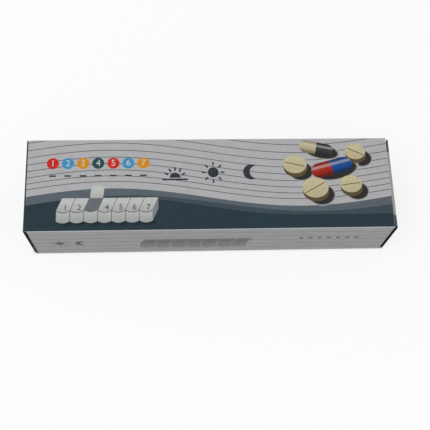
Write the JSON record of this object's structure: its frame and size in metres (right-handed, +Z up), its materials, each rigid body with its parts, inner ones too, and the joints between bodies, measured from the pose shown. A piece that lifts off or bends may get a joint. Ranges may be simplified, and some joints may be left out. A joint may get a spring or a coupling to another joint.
{
  "type": "boxed pill organizer",
  "caption": "Closed printed folding carton with tuck flaps at both ends, holding a weekly pill organizer with flip lids that slides out of one end.",
  "frame": {"origin": "under the middle of the closed carton, on the plane that its bottom panel rests on", "axes": "+X along the carton to its right end, +Y from the front panel to the back panel, +Z up through the top panel"},
  "size_m": [0.202, 0.0536, 0.0375],
  "materials": {
    "printed_board": "matt printed board",
    "dark_printed_board": "matt printed board, dark slate",
    "plain_board": "unprinted board",
    "tray_plastic": "satin moulded plastic",
    "lid_plastic": "frosted moulded plastic"
  },
  "bodies": {
    "carton": {"carton_sleeve": "printed_board"},
    "left_flap": {"left_end_flap": "dark_printed_board"},
    "left_tongue": {"left_tuck_tongue": "plain_board"},
    "left_front_dust": {"left_front_dust_flap": "plain_board"},
    "left_back_dust": {"left_back_dust_flap": "plain_board"},
    "right_flap": {"right_end_flap": "dark_printed_board"},
    "right_tongue": {"right_tuck_tongue": "plain_board"},
    "right_front_dust": {"right_front_dust_flap": "plain_board"},
    "right_back_dust": {"right_back_dust_flap": "plain_board"},
    "organizer": {"pill_tray": "tray_plastic"},
    "lid_1": {"lid_1": "lid_plastic"},
    "lid_2": {"lid_2": "lid_plastic"},
    "lid_3": {"lid_3": "lid_plastic"},
    "lid_4": {"lid_4": "lid_plastic"},
    "lid_5": {"lid_5": "lid_plastic"},
    "lid_6": {"lid_6": "lid_plastic"},
    "lid_7": {"lid_7": "lid_plastic"}
  },
  "joints": [
    {"name": "organizer_slide", "type": "slide", "parent": "carton", "child": "organizer", "axis": [-1, 0, 0], "range_m": [0, 0.105]},
    {"name": "left_flap_fold", "type": "hinge", "parent": "carton", "child": "left_flap", "pos_m": [-0.101, 0, 0.0375], "axis": [0, 1, 0], "range_deg": [0, 141]},
    {"name": "left_tongue_fold", "type": "hinge", "parent": "left_flap", "child": "left_tongue", "pos_m": [-0.09935, 0, 0.0024], "axis": [0, -1, 0], "range_deg": [0, 51]},
    {"name": "left_front_dust_fold", "type": "hinge", "parent": "carton", "child": "left_front_dust", "pos_m": [-0.0992, -0.02675, 0.01875], "axis": [0, 0, 1], "range_deg": [0, 141]},
    {"name": "left_back_dust_fold", "type": "hinge", "parent": "carton", "child": "left_back_dust", "pos_m": [-0.0992, 0.02675, 0.01875], "axis": [0, 0, -1], "range_deg": [0, 141]},
    {"name": "right_flap_fold", "type": "hinge", "parent": "carton", "child": "right_flap", "pos_m": [0.101, 0, 0], "axis": [0, 1, 0], "range_deg": [0, 90]},
    {"name": "right_tongue_fold", "type": "hinge", "parent": "right_flap", "child": "right_tongue", "pos_m": [0.1005, 0, 0.0351], "axis": [0, -1, 0], "range_deg": [0, 33]},
    {"name": "right_front_dust_fold", "type": "hinge", "parent": "carton", "child": "right_front_dust", "pos_m": [0.0992, -0.02675, 0.01875], "axis": [0, 0, -1], "range_deg": [0, 90]},
    {"name": "right_back_dust_fold", "type": "hinge", "parent": "carton", "child": "right_back_dust", "pos_m": [0.0992, 0.02675, 0.01875], "axis": [0, 0, 1], "range_deg": [0, 90]},
    {"name": "lid_1_hinge", "type": "hinge", "parent": "organizer", "child": "lid_1", "pos_m": [-0.04445, 0.00155, 0.02735], "axis": [-1, 0, 0], "range_deg": [0, 90]},
    {"name": "lid_2_hinge", "type": "hinge", "parent": "organizer", "child": "lid_2", "pos_m": [-0.02295, 0.00155, 0.02735], "axis": [-1, 0, 0], "range_deg": [0, 90]},
    {"name": "lid_3_hinge", "type": "hinge", "parent": "organizer", "child": "lid_3", "pos_m": [-0.00145, 0.00155, 0.02735], "axis": [-1, 0, 0], "range_deg": [0, 90]},
    {"name": "lid_4_hinge", "type": "hinge", "parent": "organizer", "child": "lid_4", "pos_m": [0.02005, 0.00155, 0.02735], "axis": [-1, 0, 0], "range_deg": [0, 90]},
    {"name": "lid_5_hinge", "type": "hinge", "parent": "organizer", "child": "lid_5", "pos_m": [0.04155, 0.00155, 0.02735], "axis": [-1, 0, 0], "range_deg": [0, 90]},
    {"name": "lid_6_hinge", "type": "hinge", "parent": "organizer", "child": "lid_6", "pos_m": [0.06305, 0.00155, 0.02735], "axis": [-1, 0, 0], "range_deg": [0, 90]},
    {"name": "lid_7_hinge", "type": "hinge", "parent": "organizer", "child": "lid_7", "pos_m": [0.08455, 0.00155, 0.02735], "axis": [-1, 0, 0], "range_deg": [0, 90]}
  ],
  "couplings": [
    {"joint": "left_flap_fold", "follows": "organizer_slide", "rad_per_m": 23.3},
    {"joint": "left_tongue_fold", "follows": "organizer_slide", "rad_per_m": 8.388},
    {"joint": "left_front_dust_fold", "follows": "organizer_slide", "rad_per_m": 23.3},
    {"joint": "left_back_dust_fold", "follows": "organizer_slide", "rad_per_m": 23.3},
    {"joint": "right_tongue_fold", "follows": "right_flap_fold", "ratio": 0.36},
    {"joint": "right_front_dust_fold", "follows": "right_flap_fold", "ratio": 1},
    {"joint": "right_back_dust_fold", "follows": "right_flap_fold", "ratio": 1}
  ]
}
